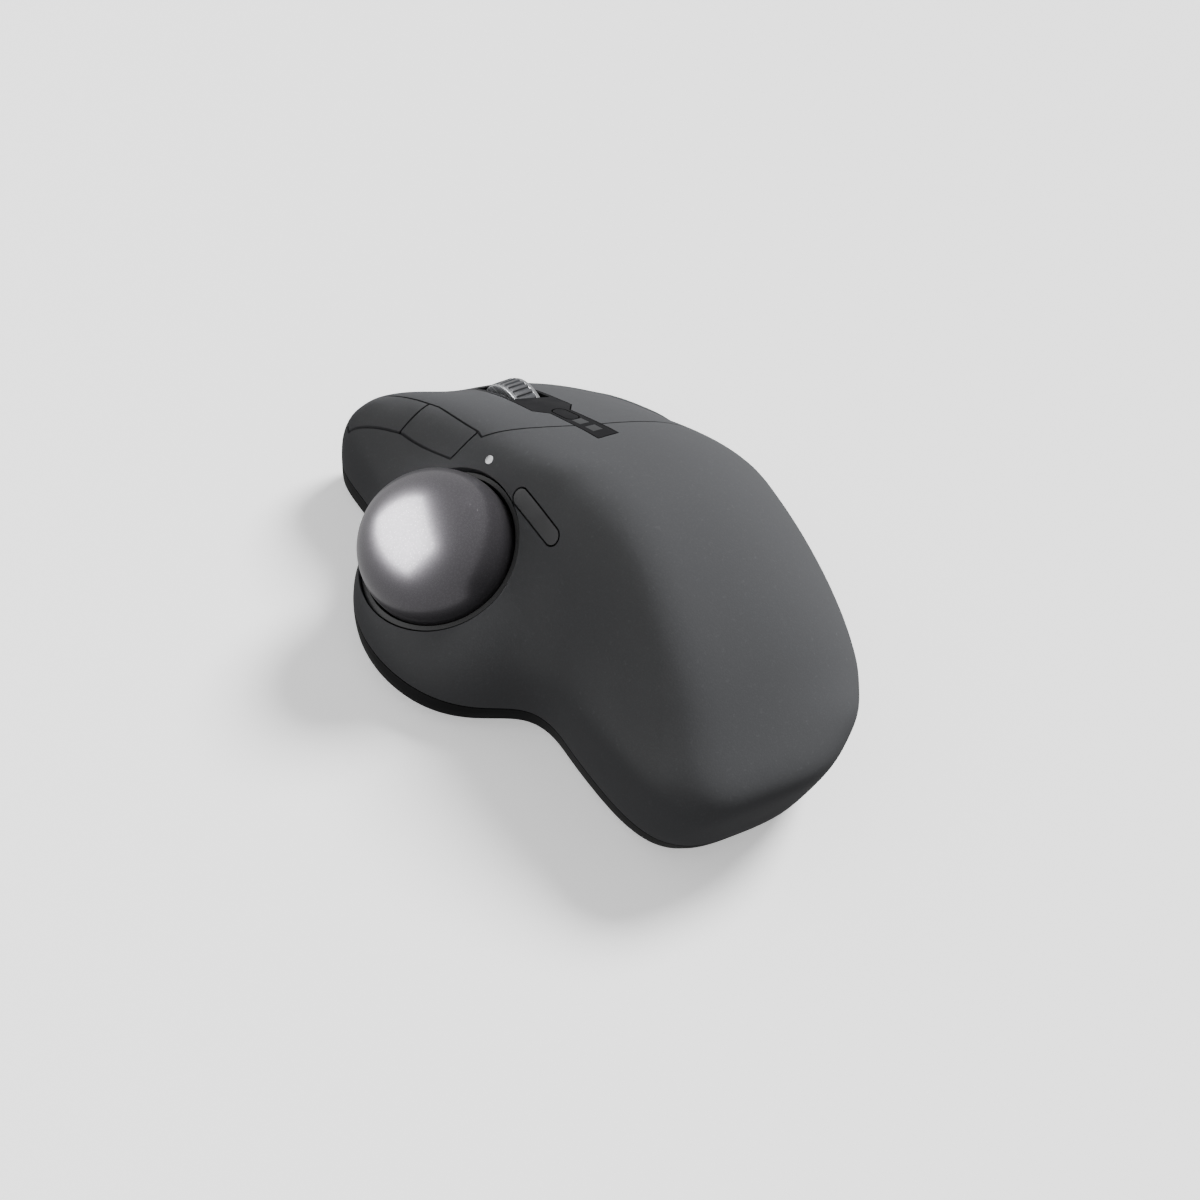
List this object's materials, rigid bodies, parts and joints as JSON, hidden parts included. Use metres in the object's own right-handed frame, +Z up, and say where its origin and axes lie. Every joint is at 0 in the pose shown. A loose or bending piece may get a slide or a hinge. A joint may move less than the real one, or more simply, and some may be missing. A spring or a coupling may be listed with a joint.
{
  "type": "trackball mouse",
  "caption": "Right-hand thumb trackball mouse: sculpted case tilting on a flat base plate, socketed ball, main and side keys, tilting scroll wheel.",
  "frame": {"origin": "centre of the whole part's bounding box, on the desk plane under the base pad", "axes": "+X to the user's right, +Y forwards to the keys and charging inlet, +Z up from the desk"},
  "size_m": [0.0982, 0.136, 0.0509],
  "materials": {
    "plate_steel": "brushed",
    "pad_rubber": "matte",
    "pin_steel": "ground",
    "black_case": "fine grain",
    "graphite_cover": "soft-touch satin",
    "black_trim": "gloss",
    "ceramic": "polished",
    "clear_lens": "clear",
    "component": "moulded",
    "board": "solder mask",
    "frame_plastic": "moulded",
    "cell": "foil pouch",
    "magnet": "nickel plated",
    "plunger": "moulded",
    "pearl_ball": "polished pearl",
    "tyre_rubber": "ribbed",
    "wheel_rims": "satin"
  },
  "bodies": {
    "base": {"base_plate": "plate_steel", "rubber_pad": "pad_rubber", "hinge_pin_front": "pin_steel", "hinge_pin_rear": "pin_steel"},
    "case": {"bottom_case": "black_case", "top_cover": "graphite_cover", "centre_strip": "black_trim", "ball_cup": "black_case", "bearing_stud_1": "ceramic", "bearing_stud_2": "ceramic", "bearing_stud_3": "ceramic", "sensor_lens": "clear_lens", "ball_sensor": "component", "sensor_board": "board", "indicator_lens_front": "clear_lens", "indicator_lens_rear": "clear_lens", "status_light": "clear_lens", "status_led": "component", "precision_switch": "component", "precision_board": "board", "key_hinge_rod": "pin_steel", "wheel_mount": "frame_plastic", "wheel_switch": "component", "main_board": "board", "board_screws": "pin_steel", "case_screws": "pin_steel", "left_switch": "component", "right_switch": "component", "side_board": "board", "back_switch": "component", "forward_switch": "component", "top_board": "board", "device_switch": "component", "indicator_leds": "component", "top_board_posts": "pin_steel", "charge_port": "black_trim", "power_switch": "component", "battery_tray": "frame_plastic", "battery": "cell", "hold_magnets": "magnet", "processor_chip": "component", "battery_connector": "plunger"},
    "ball": {"ball": "pearl_ball"},
    "left_key": {"left_key": "graphite_cover", "left_plunger": "plunger"},
    "right_key": {"right_key": "graphite_cover", "right_plunger": "plunger"},
    "back_key": {"back_key": "graphite_cover"},
    "forward_key": {"forward_key": "graphite_cover"},
    "device_key": {"device_key": "black_trim"},
    "precision_key": {"precision_key": "black_trim"},
    "wheel_press": {"press_frame": "frame_plastic"},
    "wheel_tilt": {"tilt_yoke": "frame_plastic", "wheel_encoder": "component"},
    "wheel": {"wheel_hub": "frame_plastic", "wheel_tyre": "tyre_rubber", "wheel_rim_left": "wheel_rims", "wheel_rim_right": "wheel_rims", "wheel_axle": "pin_steel"},
    "power_slider": {"power_slider": "frame_plastic"}
  },
  "joints": [
    {"name": "case_tilt", "type": "hinge", "parent": "base", "child": "case", "pos_m": [0.02187, 0.00072, 0.0055], "axis": [0, 1, 0], "range_deg": [0, 20]},
    {"name": "ball_roll", "type": "hinge", "parent": "case", "child": "ball", "pos_m": [-0.03113, 0.01872, 0.024], "axis": [0, 1, 0], "continuous": true},
    {"name": "left_key_press", "type": "hinge", "parent": "case", "child": "left_key", "pos_m": [-0.00013, 0.01672, 0.028], "axis": [-1, 0, 0], "range_deg": [0, 1], "stiffness_Nm_per_rad": 0.6, "springref_deg": -0.57},
    {"name": "right_key_press", "type": "hinge", "parent": "case", "child": "right_key", "pos_m": [-0.00013, 0.01672, 0.028], "axis": [-1, 0, 0], "range_deg": [0, 1], "stiffness_Nm_per_rad": 0.6, "springref_deg": -0.57},
    {"name": "back_key_press", "type": "slide", "parent": "case", "child": "back_key", "axis": [0, 0, -1], "range_m": [0, 0.0005], "stiffness_N_per_m": 800, "springref_m": -0.0003},
    {"name": "forward_key_press", "type": "slide", "parent": "case", "child": "forward_key", "axis": [0, 0, -1], "range_m": [0, 0.0005], "stiffness_N_per_m": 800, "springref_m": -0.0003},
    {"name": "device_key_press", "type": "slide", "parent": "case", "child": "device_key", "axis": [0, 0, -1], "range_m": [0, 0.0004], "stiffness_N_per_m": 800, "springref_m": -0.0003},
    {"name": "precision_key_press", "type": "slide", "parent": "case", "child": "precision_key", "axis": [0.8267, -0.0785, -0.5571], "range_m": [0, 0.0005], "stiffness_N_per_m": 800, "springref_m": -0.0003},
    {"name": "wheel_press", "type": "hinge", "parent": "case", "child": "wheel_press", "pos_m": [0.00637, 0.02572, 0.0145], "axis": [-1, 0, 0], "range_deg": [0, 1.2], "stiffness_Nm_per_rad": 1.2, "springref_deg": -0.57},
    {"name": "wheel_tilt", "type": "hinge", "parent": "wheel_press", "child": "wheel_tilt", "pos_m": [0.00637, 0.04532, 0.0145], "axis": [0, 1, 0], "range_deg": [-3.5, 3.5], "stiffness_Nm_per_rad": 0.15},
    {"name": "wheel_spin", "type": "hinge", "parent": "wheel_tilt", "child": "wheel", "pos_m": [0.00637, 0.04532, 0.0224], "axis": [1, 0, 0], "continuous": true},
    {"name": "power_slide", "type": "slide", "parent": "case", "child": "power_slider", "axis": [0, 1, 0], "range_m": [0, 0.003]}
  ]
}
